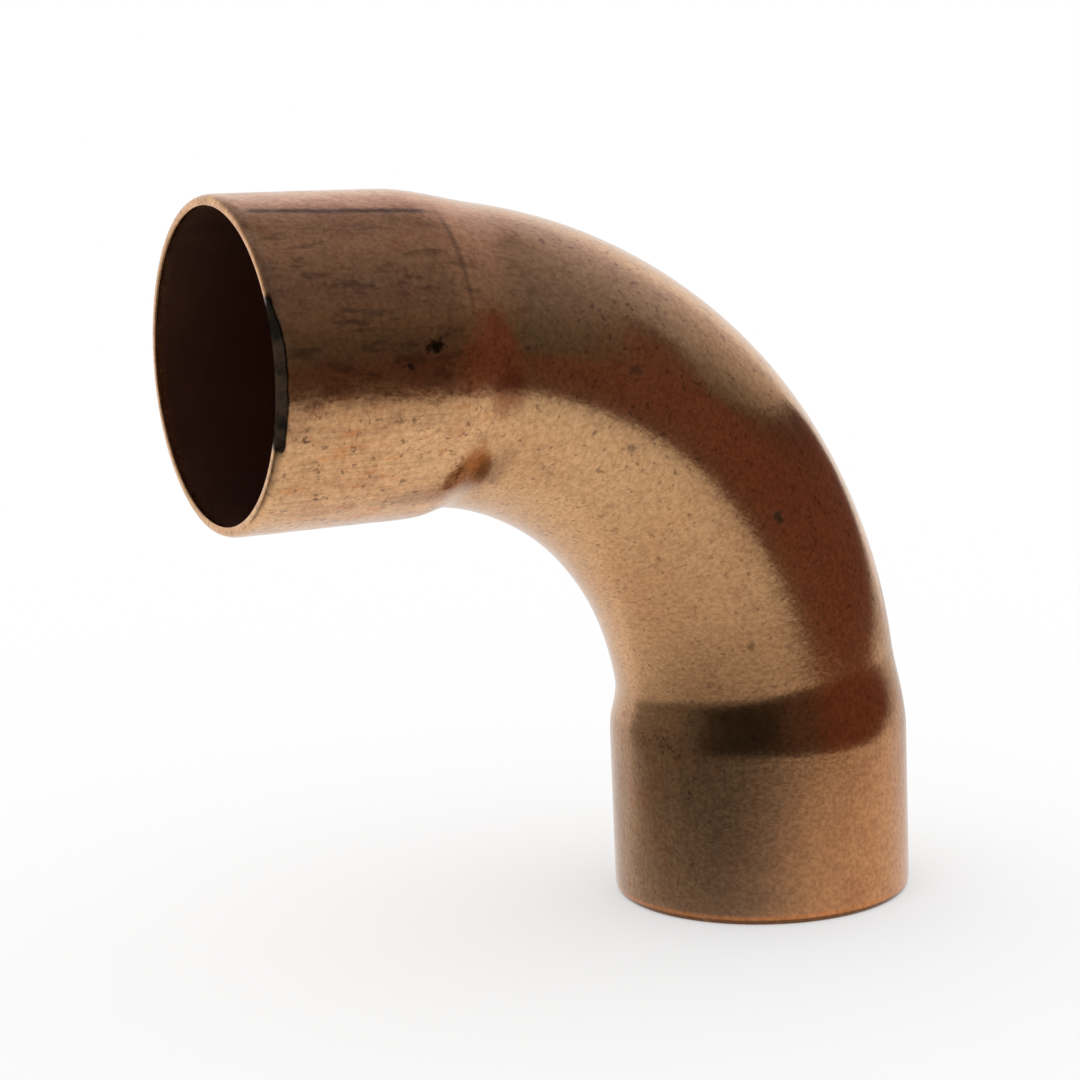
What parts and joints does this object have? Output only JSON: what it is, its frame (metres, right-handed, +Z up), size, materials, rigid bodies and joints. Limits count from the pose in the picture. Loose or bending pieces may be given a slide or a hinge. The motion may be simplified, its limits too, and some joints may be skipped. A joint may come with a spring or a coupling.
{
  "type": "pipe elbow",
  "caption": "Bare copper 90 degree elbow with a long-radius bend and a plain solder cup at each end, for joining two lengths of tube at a corner.",
  "frame": {"origin": "centre of the base of the bounding box, on the plane of the lower mouth. The lower port's axis is the vertical line x = 31.225 mm, y = 0, and the side port's axis is the line y = 0, z = 85 mm; they cross at (31.225, 0, 85) mm", "axes": "+Z up. The lower cup opens along -Z and the side cup opens along -X. The bend lies in the XZ plane, which is the part's mirror plane"},
  "size_m": [0.1076, 0.045, 0.1076],
  "materials": {
    "copper": null
  },
  "bodies": {
    "root": {"elbow": "copper"}
  },
  "joints": []
}
